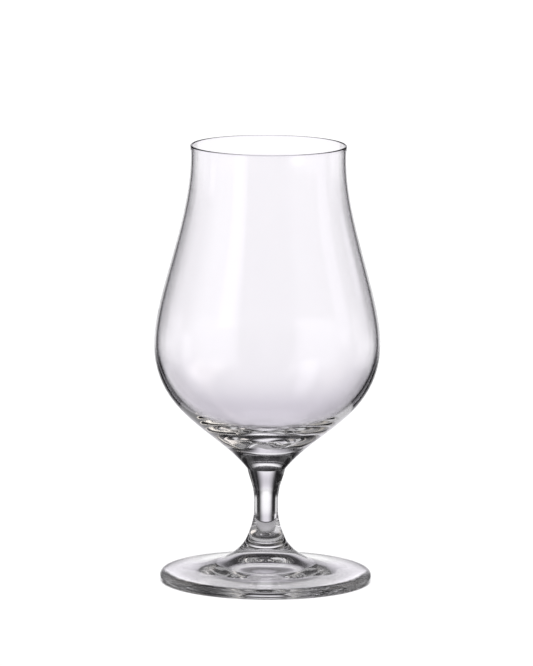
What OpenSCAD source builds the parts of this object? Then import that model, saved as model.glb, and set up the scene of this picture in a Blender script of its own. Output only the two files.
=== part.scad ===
// Stemmed tulip beer glass in clear glass: a thin blown bowl, a short drawn stem and
// a pressed foot, fused face to face at two seams. All lengths are in millimetres.
// The origin is the middle of the ring that the foot stands on, and +Z points up.

/* [Bowl] */
// Height of the bowl from its seam with the stem to the rim
bowl_h = 132.7; // [110:0.1:160]
// Outer diameter at the belly, the widest place
belly_d = 92; // [80:0.5:106]
// Height of the belly above the seam with the stem
belly_h = 51.4; // [42:0.1:62]
// Outer diameter of the rim
rim_d = 63.5; // [54:0.5:76]
// Outward lean of the wall at the rim, in degrees
rim_lean = 4.2; // [0:0.1:8]
// Outward lean of the wall where it leaves the stem, in degrees
heel_lean = 38; // [30:1:45]
// Wall at the belly
belly_wall = 1.4; // [1:0.1:2.5]
// Wall at the rim
rim_wall = 0.9; // [0.7:0.1:2]
// Solid glass between the seam with the stem and the inner floor
base_t = 13; // [11:0.1:18]

/* [Stem] */
// Height of the stem between its two seams
stem_h = 28.4; // [22:0.1:45]
// Diameter of the seam under the bowl
bowl_seam_d = 15.5; // [12:0.1:20]
// Diameter of the waist, the thinnest place
waist_d = 9.7; // [7:0.1:12]
// Height of the waist above the seam with the foot
waist_h = 14.8; // [9:0.1:20]
// Outward lean of the stem's side under the bowl, in degrees
collar_lean = 12; // [4:1:24]
// Diameter of the seam above the foot
foot_seam_d = 15.4; // [12:0.1:20]
// Outward lean of the side at the seam above the foot, in degrees
flare_lean = 23; // [14:1:32]

/* [Foot] */
// Outer diameter of the foot
foot_d = 86.2; // [74:0.2:100]
// Height of the foot up to its seam with the stem
foot_h = 17.7; // [14:0.1:24]
// Thickness of the rounded edge
edge_t = 4; // [2.5:0.1:6]
// Slope of the foot's top just inside the edge, in degrees
edge_slope = 4; // [1:0.5:8]
// Width of the flat ring that the foot stands on
ring_w = 3.6; // [2:0.1:8]
// Height of the hollow inside the ring, at its middle
hollow_h = 8; // [5:0.1:10]
// Diameter of the dome in the middle of the hollow
dome_d = 38; // [28:0.5:48]
// Height of the hollow where its dome begins
dome_base_h = 2.6; // [1:0.1:4]
// Slope of the dome where it begins, in degrees
dome_slope = 12; // [6:0.5:20]

/* [Hidden] */
$fn = 96;

// Flat steps that draw each long curve and each rounded edge
curve_steps = 24;
edge_steps = 12;

// How far each curve holds its end directions, as shares of the rise or run it spans
heel_reach_share = 0.41;
belly_under_share = 0.55;
belly_over_share = 0.26;
rim_reach_share = 0.34;
floor_reach_share = 0.48;
inner_under_share = 0.6;
flare_reach_share = 0.55;
waist_under_share = 0.3;
waist_over_share = 0.45;
collar_reach_share = 0.35;
foot_flare_share = 0.88;
foot_edge_share = 0.28;
dome_middle_share = 0.4;
dome_edge_share = 0.35;

// Heights of the seams, the belly, the inner floor and the rim above the table
foot_seam_z = foot_h;
bowl_seam_z = foot_seam_z + stem_h;
belly_z = bowl_seam_z + belly_h;
floor_z = bowl_seam_z + base_t;
rim_z = bowl_seam_z + bowl_h;

glass = [0.93, 0.92, 0.95, 0.4];

// A direction in the outline's plane that leans outwards from straight up
function lean(angle) = [sin(angle), cos(angle)];

// A direction in the outline's plane that turns up from straight outwards
function turn(angle) = [cos(angle), sin(angle)];

// A smooth curve from a to d that leaves towards b and arrives from c
function curve(a, b, c, d) = [
    for (i = [0 : curve_steps])
        let (t = i / curve_steps, s = 1 - t)
            s*s*s*a + 3*s*s*t*b + 3*s*t*t*c + t*t*t*d
];

// A rounded edge about a centre, from one turned direction to another
function arc(centre, r, from, to) = [
    for (i = [0 : edge_steps])
        centre + r*turn(from + (to - from)*i/edge_steps)
];

// Thin wall round a heavy base: the outside from the seam to the rim, the round lip,
// then the inside back down to the middle of the inner floor
module bowl() {
    lip_r = rim_wall/2;
    lip = [rim_d/2 - lip_r, rim_z - lip_r];
    seam = [bowl_seam_d/2, bowl_seam_z];
    belly = [belly_d/2, belly_z];
    inner_belly = belly - [belly_wall, 0];
    rim_out = lip + lip_r*turn(-rim_lean);
    rim_in = lip + lip_r*turn(180 - rim_lean);

    belly_over = [0, belly_over_share*(rim_z - belly_z)];
    rim_reach = rim_reach_share*(rim_z - belly_z)*lean(rim_lean);
    belly_under = [0, belly_under_share*belly_h];
    heel_reach = heel_reach_share*belly_h*lean(heel_lean);
    inner_under = [0, inner_under_share*(belly_z - floor_z)];
    floor_reach = floor_reach_share*inner_belly.x;

    color(glass) rotate_extrude() polygon(concat(
        [[0, bowl_seam_z]],
        curve(seam, seam + heel_reach, belly - belly_under, belly),
        curve(belly, belly + belly_over, rim_out - rim_reach, rim_out),
        arc(lip, lip_r, -rim_lean, 180 - rim_lean),
        curve(rim_in, rim_in - rim_reach, inner_belly + belly_over, inner_belly),
        curve(inner_belly, inner_belly - inner_under, [floor_reach, floor_z], [0, floor_z])
    ));
}

// Solid stem with a waist between its two seams
module stem() {
    below = [foot_seam_d/2, foot_seam_z];
    waist = [waist_d/2, foot_seam_z + waist_h];
    above = [bowl_seam_d/2, bowl_seam_z];
    above_waist_h = stem_h - waist_h;

    flare_reach = flare_reach_share*waist_h*lean(-flare_lean);
    waist_under = [0, waist_under_share*waist_h];
    waist_over = [0, waist_over_share*above_waist_h];
    collar_reach = collar_reach_share*above_waist_h*lean(collar_lean);

    color(glass) rotate_extrude() polygon(concat(
        [[0, foot_seam_z]],
        curve(below, below + flare_reach, waist - waist_under, waist),
        curve(waist, waist + waist_over, above - collar_reach, above),
        [[0, bowl_seam_z]]
    ));
}

// Wide foot: a hollow underside with a dome in its middle, the ring it stands on, the
// rounded edge, and a top that sweeps up to the seam with the stem
module foot() {
    edge_r = edge_t/2;
    edge = [foot_d/2 - edge_r, edge_r];
    top = edge + edge_r*turn(90 - edge_slope);
    seam = [foot_seam_d/2, foot_seam_z];
    middle = [0, hollow_h];
    dome = [dome_d/2, dome_base_h];
    ring = [edge.x - ring_w, 0];

    edge_reach = foot_edge_share*(top.x - seam.x)*turn(180 - edge_slope);
    flare_reach = foot_flare_share*(seam.y - top.y)*lean(180 - flare_lean);
    middle_reach = [dome_middle_share*dome.x, 0];
    dome_reach = dome_edge_share*dome.x*turn(180 - dome_slope);

    color(glass) rotate_extrude() polygon(concat(
        curve(middle, middle + middle_reach, dome + dome_reach, dome),
        [ring],
        arc(edge, edge_r, -90, 90 - edge_slope),
        curve(top, top + edge_reach, seam + flare_reach, seam),
        [[0, foot_seam_z]]
    ));
}

bowl();
stem();
foot();
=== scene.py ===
# %% [markdown]
# # A tulip beer glass
#
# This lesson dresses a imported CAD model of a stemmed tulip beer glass. The real one is three
# pieces of clear glass, a blown bowl, a drawn stem and a pressed foot, melted together at two
# seams. Clear glass has hardly any colour of its own to paint, so its looks come from three things:
# the exact shape of every wall, the way the surface bends light, and what stands around it.

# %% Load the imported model
from collections import namedtuple
from math import cos, radians, sin, tau

import bmesh
import bpy
from mathutils import Matrix, Vector, noise


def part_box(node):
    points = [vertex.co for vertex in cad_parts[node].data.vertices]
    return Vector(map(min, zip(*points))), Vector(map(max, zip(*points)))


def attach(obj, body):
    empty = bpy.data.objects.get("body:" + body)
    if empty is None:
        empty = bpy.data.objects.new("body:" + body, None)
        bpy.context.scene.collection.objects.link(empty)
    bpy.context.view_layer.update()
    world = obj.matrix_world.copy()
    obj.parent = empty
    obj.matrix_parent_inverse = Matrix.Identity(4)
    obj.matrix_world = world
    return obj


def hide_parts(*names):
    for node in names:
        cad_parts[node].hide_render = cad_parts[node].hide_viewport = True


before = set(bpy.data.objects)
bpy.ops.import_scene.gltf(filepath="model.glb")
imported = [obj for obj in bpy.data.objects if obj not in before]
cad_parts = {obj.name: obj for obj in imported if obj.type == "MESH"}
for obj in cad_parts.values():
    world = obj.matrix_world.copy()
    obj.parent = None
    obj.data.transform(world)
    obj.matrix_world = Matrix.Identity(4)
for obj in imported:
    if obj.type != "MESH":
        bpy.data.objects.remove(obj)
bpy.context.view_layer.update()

# %% [markdown]
# ## The camera
#
# The glass was photographed from far off with a long lens, so its sides hardly converge. The rim
# is seen from about 7.5 degrees above and the foot from about 11, which places the camera at about
# sixteen times the height of the glass. The camera is rolled a little, because the glass leans
# slightly to the right in its picture.

# %% Camera
IMAGE_HIGH = 666
SENSOR = 36.0
PIXELS_PER_METRE = 2461.0
CAMERA_DISTANCE = 2.914
CAMERA_ELEVATION = radians(9.36)
CAMERA_ROLL = radians(0.42)
SIGHT_HEIGHT = 0.0874
FRAME_CENTRE = Vector((-0.00033, 0.0, 0.1018))


def make_camera():
    """A long lens that looks at the middle of the picture."""
    away = Vector((0.0, -cos(CAMERA_ELEVATION), sin(CAMERA_ELEVATION)))
    place = Vector((0.0, 0.0, SIGHT_HEIGHT)) + CAMERA_DISTANCE * away
    data = bpy.data.cameras.new("camera")
    data.sensor_width = SENSOR
    data.lens = PIXELS_PER_METRE * CAMERA_DISTANCE / IMAGE_HIGH * SENSOR
    camera = bpy.data.objects.new("camera", data)
    turned = (FRAME_CENTRE - place).to_track_quat("-Z", "Y").to_matrix()
    turned = turned @ Matrix.Rotation(CAMERA_ROLL, 3, "Z")
    camera.matrix_world = Matrix.Translation(place) @ turned.to_4x4()
    bpy.context.scene.collection.objects.link(camera)
    bpy.context.scene.camera = camera
    return camera


camera = make_camera()
print("lens", round(camera.data.lens, 1), "mm, camera at", [round(v, 3) for v in camera.location])

# %% [markdown]
# ## The outlines
#
# Each piece is a solid of revolution. The CAD mesh is true to size but is made of long thin
# triangles, which would show as facets in a lens of glass. A remesh would blur its rims and seams.
# So a copy is cut with a plane through its axis, which leaves only the outline there, and half of
# that is thrown away.

# %% Cut the outline out of each CAD node
MERGE = 1e-6


def cut(bm, direction, **sides):
    """Cuts everything with a plane through the axis."""
    parts = bm.verts[:] + bm.edges[:] + bm.faces[:]
    bmesh.ops.bisect_plane(bm, geom=parts, dist=MERGE, plane_no=direction, **sides)


def outline_of(node):
    """Half the outline of a CAD node, as a chain of edges."""
    bm = bmesh.new()
    bm.from_mesh(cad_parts[node].data)
    bmesh.ops.remove_doubles(bm, verts=bm.verts, dist=MERGE)
    cut(bm, (0, 1, 0), clear_inner=True, clear_outer=True)
    cut(bm, (1, 0, 0), clear_inner=True)
    print(node, len(bm.verts), "outline points")
    return bm


outlines = {node: outline_of(node) for node in ("bowl", "stem", "foot")}

# %% [markdown]
# ## Round edges
#
# The lip is rounded in the fire and the foot's edge in its mould. The CAD draws both in flat steps.
# Light runs round inside such an edge and would show every step, as a row of streaks. A bevel would
# cut material away, so each short step between two bends is divided along the arc it stands for.

# %% Divide the steps of the rounded edges
ROUND_STEP = 0.001
ROUND_BEND = 0.03
ROUND_CUTS = 3


def bend(vertex):
    """How sharply, and to which side, the outline bends at a point."""
    if len(vertex.link_edges) < 2:
        return Vector()
    ways = [(edge.other_vert(vertex).co - vertex.co).normalized() for edge in vertex.link_edges]
    return -(ways[0] + ways[1]) / 2


def round_edges(bm):
    """Divides the short steps of an outline and lifts the new points onto their arcs."""
    steps = []
    for edge in bm.edges:
        length = edge.calc_length()
        bends = [bend(vertex) for vertex in edge.verts]
        if length < ROUND_STEP and min(b.length for b in bends) > ROUND_BEND:
            steps.append((edge, edge.verts[0].co.copy(), length, (bends[0] + bends[1]) / 2))
    for edge, start, length, bulge in steps:
        made = bmesh.ops.subdivide_edges(bm, edges=[edge], cuts=ROUND_CUTS)
        for point in made["geom_inner"]:
            if isinstance(point, bmesh.types.BMVert):
                share = (point.co - start).length / length
                point.co += length * share * (1 - share) * bulge


for node, outline in outlines.items():
    round_edges(outline)
    print(node, len(outline.verts), "outline points with rounded edges")

# %% [markdown]
# ## Turned pieces
#
# A blown bowl is turned in its mould while it sets, so it comes out round, and spin does the same
# here: it carries the outline once round the axis. Many even steps keep the walls smooth where they
# act as lenses. Only the rims of the seams stay sharp.

# %% Spin the pieces
TURN_STEPS = 256
SHARP_ANGLE = radians(32)


def turned_piece(bm, name):
    """A closed piece spun from its outline."""
    bmesh.ops.spin(
        bm, geom=bm.verts[:] + bm.edges[:], cent=(0, 0, 0), axis=(0, 0, 1),
        angle=tau, steps=TURN_STEPS, use_merge=True,
    )
    bmesh.ops.remove_doubles(bm, verts=bm.verts, dist=MERGE)
    bmesh.ops.recalc_face_normals(bm, faces=bm.faces)
    for face in bm.faces:
        face.smooth = True
    for edge in bm.edges:
        edge.smooth = edge.calc_face_angle(0.0) < SHARP_ANGLE
    loose = sum(1 for edge in bm.edges if len(edge.link_faces) != 2)
    mesh = bpy.data.meshes.new(name)
    bm.to_mesh(mesh)
    bm.free()
    piece = bpy.data.objects.new(name, mesh)
    bpy.context.scene.collection.objects.link(piece)
    print(name, len(mesh.polygons), "faces,", loose, "open edges")
    return piece


bowl = turned_piece(outlines["bowl"], "glass_bowl")
stem = turned_piece(outlines["stem"], "glass_stem")
foot = turned_piece(outlines["foot"], "glass_foot")

# %% [markdown]
# ## Marks of the hot work
#
# Glass worked by hand while hot is never quite true. A bump in the material would be enough for a
# reflection, but here the marks bend light deep inside the glass, so they are made in the mesh: a
# slow noise moves points along their normals, each by its own share.

# %% Move points by a slow noise
def uneven(point, waves):
    """Height of a sum of slow noises at a point, each with its size and its depth."""
    return sum(depth * noise.noise(point / size) for size, depth in waves)


def push_points(piece, waves, share_at):
    """Moves the points of a piece along their normals and counts them."""
    moves = []
    for vertex in piece.data.vertices:
        share = share_at(vertex)
        if share > 0.0:
            moves.append((vertex, share * uneven(vertex.co, waves) * vertex.normal))
    for vertex, move in moves:
        vertex.co += move
    return len(moves)


# %% [markdown]
# ## The dented floor
#
# Where the thin wall runs into the heavy base, the inner floor keeps soft dents. They scatter the
# picture in the base into bright and dark curls. The dents are deepest on the floor and fade out
# a little way up the wall, so that the wall above stays clean.

# %% Dent the bowl's floor
FLOOR_FADE = 0.0075
FLOOR_DENTS = ((0.0090, 0.0009), (0.0045, 0.0001))
floor = max(vertex.co.z for vertex in bowl.data.vertices if vertex.co.xy.length < MERGE)


def floor_share(vertex):
    """1 on the floor, fading to 0 up the inside of the wall."""
    rise = vertex.co.z - floor
    inside = vertex.normal.z > 0.0 and -MERGE < rise < FLOOR_FADE
    return (1.0 - rise / FLOOR_FADE) ** 2 if inside else 0.0


dented = push_points(bowl, FLOOR_DENTS, floor_share)
print(bowl.name, dented, "points dented, floor at", round(floor, 4), "m")

# %% [markdown]
# ## The waved foot
#
# A pressed foot is truer than a blown bowl. Its plate gets waves of a few hundredths of a millimetre
# on both sides. They fade out before the edge, the ring that it stands on and the seam with the
# stem, which have to stay flat and round.

# %% Wave the foot's plate
FOOT_WAVES = ((0.0110, 0.00004),)
RING_CLEAR = 0.006
SEAMS = [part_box("stem")[0].z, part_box("stem")[1].z]
foot_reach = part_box("foot")[1].x


def plate_share(vertex):
    """1 on the plate, fading to 0 at the edge, the ring and the seam."""
    inset = (foot_reach - vertex.co.xy.length) / RING_CLEAR - 1.0
    drop = (SEAMS[0] - vertex.co.z) / RING_CLEAR
    return max(0.0, min(1.0, inset, drop))


waved = push_points(foot, FOOT_WAVES, plate_share)
print(foot.name, waved, "points waved")

# %% [markdown]
# ## Node helpers
#
# Materials and the studio are node trees. Four small helpers keep them short: one adds a node with
# its settings, one links or sets a socket, one adds a sum, and one gives a soft step.

# %% Node helpers
def add(tree, kind, **settings):
    """A new node with its settings."""
    node = tree.nodes.new(kind)
    for key, value in settings.items():
        setattr(node, key, value)
    return node


def feed(tree, socket, value):
    """Links an output to a socket, or sets the socket's own value."""
    if isinstance(value, bpy.types.NodeSocket):
        tree.links.new(value, socket)
    else:
        socket.default_value = value


def calc(tree, operation, *values):
    """The result of one sum."""
    node = add(tree, "ShaderNodeMath", operation=operation)
    for socket, value in zip(node.inputs, values):
        feed(tree, socket, value)
    return node.outputs[0]


def soft_step(tree, value, none, full):
    """0 up to none and 1 from full on, with a smooth change between them."""
    node = add(tree, "ShaderNodeMapRange", interpolation_type="SMOOTHSTEP")
    feed(tree, node.inputs["Value"], value)
    feed(tree, node.inputs["From Min"], none)
    feed(tree, node.inputs["From Max"], full)
    return node.outputs["Result"]


# %% [markdown]
# ## Clear glass
#
# The glass is colourless with the faintest lilac cast. A Glass shader would do for a picture, but
# a Principled shader with full transmission is also kept by the export. It gets the index of
# crystal glass, which gives the base and the foot their sparkle.

# %% Glass material
GLASS_INDEX = 1.52
GLASS_TINT = (0.985, 0.973, 0.996)


def glass_material(name, tint, index):
    """A clear Principled material without any roughness."""
    material = bpy.data.materials.new(name)
    material.use_nodes = True
    shader = material.node_tree.nodes["Principled BSDF"]
    shader.inputs["Base Color"].default_value = (*tint, 1.0)
    shader.inputs["Roughness"].default_value = 0.0
    shader.inputs["IOR"].default_value = index
    shader.inputs["Transmission Weight"].default_value = 1.0
    return material


clear_glass = glass_material("clear_glass", GLASS_TINT, GLASS_INDEX)
print(clear_glass.name, "with an index of", GLASS_INDEX)

# %% [markdown]
# ## The skin of the glass
#
# Blowing and fire polishing leave slow waves in the skin, too shallow for the mesh, so a noise on
# Object coordinates drives a bump of a few thousandths of a millimetre. A second, finer noise
# breaks the polish a little, so that the reflections aren't quite perfect.

# %% Skin of the glass
SKIN_WAVE_SCALE = 70.0
SKIN_WAVE_DETAIL = 1.0
SKIN_WAVE_DEPTH = 0.000006
POLISH_SCALE = 260.0
POLISH_ROUGHNESS = 0.012


def add_skin(material):
    """Slow waves and an uneven polish on a glass surface."""
    tree = material.node_tree
    shader = tree.nodes["Principled BSDF"]
    place = add(tree, "ShaderNodeTexCoord")
    waves = add(tree, "ShaderNodeTexNoise")
    feed(tree, waves.inputs["Vector"], place.outputs["Object"])
    feed(tree, waves.inputs["Scale"], SKIN_WAVE_SCALE)
    feed(tree, waves.inputs["Detail"], SKIN_WAVE_DETAIL)
    bump = add(tree, "ShaderNodeBump")
    feed(tree, bump.inputs["Distance"], SKIN_WAVE_DEPTH)
    feed(tree, bump.inputs["Height"], waves.outputs["Fac"])
    feed(tree, shader.inputs["Normal"], bump.outputs["Normal"])
    polish = add(tree, "ShaderNodeTexNoise")
    feed(tree, polish.inputs["Vector"], place.outputs["Object"])
    feed(tree, polish.inputs["Scale"], POLISH_SCALE)
    roughness = calc(tree, "MULTIPLY", polish.outputs["Fac"], POLISH_ROUGHNESS)
    feed(tree, shader.inputs["Roughness"], roughness)


add_skin(clear_glass)
print(clear_glass.name, len(clear_glass.node_tree.nodes), "nodes")

# %% [markdown]
# ## The fused seams
#
# Each piece is a closed solid, so at a seam two flat faces meet. On the real glass they are melted
# into one, and light passes as if there were nothing there. A second material with an index of 1,
# which bends nothing, lets those faces vanish. Two faces in the very same place would trap the
# light between them, so each piece ends a few thousandths of a millimetre short of its seam.

# %% Dress the pieces
FLAT = 0.999
AT_SEAM = 1e-5
SEAM_GAP = 4e-6
SEAM_INDEX = 1.0
SEAM_TINT = (1.0, 1.0, 1.0)
fused_seam = glass_material("fused_seam", SEAM_TINT, SEAM_INDEX)


def at_seam(height):
    """Whether a height is that of a seam."""
    return min(abs(height - seam) for seam in SEAMS) < AT_SEAM


def shorten(piece, node):
    """Moves the faces at the seams a little into their piece."""
    middle = sum(corner.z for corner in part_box(node)) / 2
    for vertex in piece.data.vertices:
        if at_seam(vertex.co.z):
            vertex.co.z += SEAM_GAP if vertex.co.z < middle else -SEAM_GAP


def dress(piece, node):
    """Gives a piece its glass, with the neutral seam on its flat joined faces, and seats it."""
    shorten(piece, node)
    piece.data.materials.append(clear_glass)
    piece.data.materials.append(fused_seam)
    joined = [face for face in piece.data.polygons if at_seam(face.center.z) and abs(face.normal.z) > FLAT]
    for face in joined:
        face.material_index = 1
    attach(piece, "root")
    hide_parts(node)
    print(piece.name, len(joined), "seam faces")


dress(bowl, "bowl")
dress(stem, "stem")
dress(foot, "foot")

# %% [markdown]
# ## The table's finish, with its painted glow and painted shade
#
# A plain pale table top carries the glass. It is polished, so it mirrors the dark studio above into the
# stem. Under the foot it has a painted glow, an emission that stands in for light coming up through it,
# and a painted shade in the middle, where the stem and the bowl would shade it. A table that ran on would
# grey the white around the glass, so it fades out at the foot's edge, where the white studio takes over.
# All of this is set by the distance from the middle.

# %% Table material
TABLE_PALE = 0.85
TABLE_POLISH = 0.05
# Emission strengths of the painted glow under the foot and of the painted shade in its middle, and where
# each of them ends
TABLE_PAINTED_GLOW = 0.42
PAINTED_SHADE_GLOW = 0.04
PAINTED_SHADE_END = (0.016, 0.026)
PAINTED_GLOW_END = (0.0415, 0.040)
TABLE_END = (0.0437, 0.042)


def table_material():
    """Pale and polished, with a painted glow under the foot, a painted shade in the middle, and a soft
    end.
    """
    material = bpy.data.materials.new("table_pale_painted_glow")
    material.use_nodes = True
    tree = material.node_tree
    pale = tree.nodes["Principled BSDF"]
    pale.inputs["Base Color"].default_value = (TABLE_PALE, TABLE_PALE, TABLE_PALE, 1.0)
    pale.inputs["Metallic"].default_value = 1.0
    pale.inputs["Roughness"].default_value = TABLE_POLISH
    pale.inputs["Emission Color"].default_value = (1.0, 1.0, 1.0, 1.0)
    place = add(tree, "ShaderNodeTexCoord")
    away = add(tree, "ShaderNodeVectorMath", operation="LENGTH")
    feed(tree, away.inputs[0], place.outputs["Object"])
    distance = away.outputs["Value"]
    # Painted light: the table glows under the foot. A painted shade dims the glow in the middle, under the
    # stem, and the glow stops at the foot's edge.
    painted_glow = soft_step(tree, distance, *PAINTED_SHADE_END)
    painted_glow = calc(tree, "MULTIPLY_ADD", painted_glow, TABLE_PAINTED_GLOW - PAINTED_SHADE_GLOW, PAINTED_SHADE_GLOW)
    painted_glow = calc(tree, "MULTIPLY", painted_glow, soft_step(tree, distance, *PAINTED_GLOW_END))
    feed(tree, pale.inputs["Emission Strength"], painted_glow)
    clear = add(tree, "ShaderNodeBsdfTransparent")
    blend = add(tree, "ShaderNodeMixShader")
    feed(tree, blend.inputs[0], soft_step(tree, distance, *TABLE_END))
    feed(tree, blend.inputs[1], clear.outputs["BSDF"])
    feed(tree, blend.inputs[2], pale.outputs["BSDF"])
    feed(tree, tree.nodes["Material Output"].inputs["Surface"], blend.outputs["Shader"])
    return material


table_pale_painted_glow = table_material()
print(table_pale_painted_glow.name, len(table_pale_painted_glow.node_tree.nodes), "nodes")

# %% [markdown]
# ## The table
#
# The table top is one flat round face. It lies a hair below the foot, because two faces in the same place
# would show as speckles.

# %% Table
TABLE_RADIUS = 0.12
TABLE_SIDES = 96
TABLE_DROP = 5e-5


def make_table():
    """A round table top just under the foot."""
    bm = bmesh.new()
    bmesh.ops.create_circle(bm, cap_ends=True, segments=TABLE_SIDES, radius=TABLE_RADIUS)
    bmesh.ops.translate(bm, verts=bm.verts, vec=(0, 0, -TABLE_DROP))
    mesh = bpy.data.meshes.new("table")
    bm.to_mesh(mesh)
    bm.free()
    mesh.materials.append(table_pale_painted_glow)
    table = bpy.data.objects.new("table", mesh)
    bpy.context.scene.collection.objects.link(table)
    return table


table = make_table()
print(table.name, "with a radius of", TABLE_RADIUS, "m")

# %% [markdown]
# ## The studio
#
# Glass is drawn by what it bends into view. A white sweep stands behind it, softboxes stand at its
# sides and before it, and the gaps between them are dark: the gaps give the walls their dark lines,
# the boxes their bright bands. Lamps and cards would have hard edges and get in the way of other
# views, so the studio is a world of soft panels instead. Each panel stands at a turn about the
# glass, counted in degrees from straight behind it to the right. It is full up to one angle from
# there and gone at the next, and it begins and ends softly at two heights above the horizon. A
# later panel covers those before it.
#
# Narrow sweeps with white middles also stand opposite three other views, from the front right, the
# right and the back left. From elsewhere, grey panels and dark gaps are the background.

# %% Studio panels
Panel = namedtuple("Panel", "turn full none low high colour")

WHITE = Vector((1.0, 1.0, 1.0))
LILAC = Vector((0.965, 0.94, 1.0))
WARM = Vector((1.0, 0.95, 0.86))
GAPS = 0.012 * LILAC
UNDER, OVER = (-95, -91), (91, 95)
STUDIO = [
    # Faint light from below, and a faint ceiling towards the camera
    Panel(180, 130, 142, (-52, -38), (-17, -8), 0.08 * LILAC),
    Panel(180, 75, 110, (42, 60), OVER, 0.12 * WHITE),
    # Warm softboxes, high at both sides, which light the curls in the base
    Panel(92, 18, 36, (15, 28), (38, 50), 1.5 * WARM),
    Panel(-92, 18, 36, (15, 28), (38, 50), 0.6 * WARM),
    # Dim walls at both sides
    Panel(95, 25, 50, (-22, -14), (10, 25), 0.25 * WHITE),
    Panel(-95, 25, 50, (-22, -14), (10, 25), 0.3 * WHITE),
    # Softboxes before the glass, with the bright one at the left and a dark gap between them
    Panel(-122, 14, 40, (-22, -14), (45, 65), 0.75 * WHITE),
    Panel(122, 14, 40, (-22, -14), (20, 45), 0.3 * WHITE),
    Panel(180, 29, 31, (-17, -9), (45, 60), 0.04 * WHITE),
    # Low cards at both sides of the sweep
    Panel(57, 14, 20, (-24, -15), (-7, 0), 0.7 * WHITE),
    Panel(-57, 14, 20, (-24, -15), (-7, 0), 0.6 * WHITE),
    # Narrow sweeps opposite the other views, then their white middles
    Panel(-90, 6, 14, (-45, -30), (1, 4), 0.75 * LILAC),
    Panel(135, 6, 14, (-60, -45), (-11, -8), 0.75 * LILAC),
    Panel(-45, 6, 14, (-65, -50), (-21, -18), 0.75 * LILAC),
    Panel(-90, 3, 7, (-14, -7), (1, 4), 1.0 * WHITE),
    Panel(135, 3, 7, (-27, -19), (-11, -8), 1.0 * WHITE),
    Panel(-45, 3, 7, (-37, -29), (-21, -18), 1.0 * WHITE),
    # The sweep behind the glass: its floor, the dark above it, its upper end and its white middle
    Panel(0, 4, 26, UNDER, (-5, 0), 0.84 * LILAC),
    Panel(0, 4, 26, (0, 5), (40, 55), 0.06 * LILAC),
    Panel(0, 4, 26, (0, 5), (5, 22), 0.85 * LILAC),
    Panel(0, 4, 26, (-22, -7), (-1, 8), 1.13 * WHITE),
]
print(len(STUDIO), "studio panels")

# %% [markdown]
# ## The world of panels
#
# The world's Generated coordinates are the direction of sight. Its turn and its height are worked
# out once, and each panel is then laid over the light before it with a Mix node. A Mix node has a
# socket of the same name for every kind of value, so its colour sockets are named by number.

# %% Studio
HALF_TURN = 180
MIX_SHARE, MIX_BELOW, MIX_ABOVE, MIX_RESULT = 0, 6, 7, 2


def make_studio():
    """The world: dark gaps, with each panel laid over what was there before."""
    world = bpy.data.worlds.new("studio")
    world.use_nodes = True
    tree = world.node_tree
    place = add(tree, "ShaderNodeTexCoord")
    parts = add(tree, "ShaderNodeSeparateXYZ")
    feed(tree, parts.inputs["Vector"], place.outputs["Generated"])
    turn = calc(tree, "DEGREES", calc(tree, "ARCTAN2", parts.outputs["X"], parts.outputs["Y"]))
    height = calc(tree, "DEGREES", calc(tree, "ARCSINE", parts.outputs["Z"]))
    light = (*GAPS, 1.0)
    for panel in STUDIO:
        aside = calc(tree, "WRAP", calc(tree, "SUBTRACT", turn, panel.turn), HALF_TURN, -HALF_TURN)
        level = soft_step(tree, calc(tree, "ABSOLUTE", aside), panel.none, panel.full)
        level = calc(tree, "MULTIPLY", level, soft_step(tree, height, *panel.low))
        level = calc(tree, "MULTIPLY", level, soft_step(tree, height, *reversed(panel.high)))
        over = add(tree, "ShaderNodeMix", data_type="RGBA")
        feed(tree, over.inputs[MIX_SHARE], level)
        feed(tree, over.inputs[MIX_BELOW], light)
        feed(tree, over.inputs[MIX_ABOVE], (*panel.colour, 1.0))
        light = over.outputs[MIX_RESULT]
    feed(tree, tree.nodes["Background"].inputs["Color"], light)
    return world


studio = make_studio()
bpy.context.scene.world = studio
bpy.context.scene.view_settings.view_transform = "Standard"
print(studio.name, len(studio.node_tree.nodes), "nodes")

# %% [markdown]
# ## Light that stays inside
#
# In the heavy base, the stem and the foot's edge, light is thrown from wall to wall many times
# before it gets out. Cycles gives up after four mirrored bounces, which leaves those places black, so
# the limits are raised until the light gets out.

# %% Bounces inside the glass
BOUNCES = 32
paths = bpy.context.scene.cycles
paths.max_bounces = BOUNCES
paths.glossy_bounces = BOUNCES
paths.transmission_bounces = BOUNCES
print("up to", BOUNCES, "bounces")
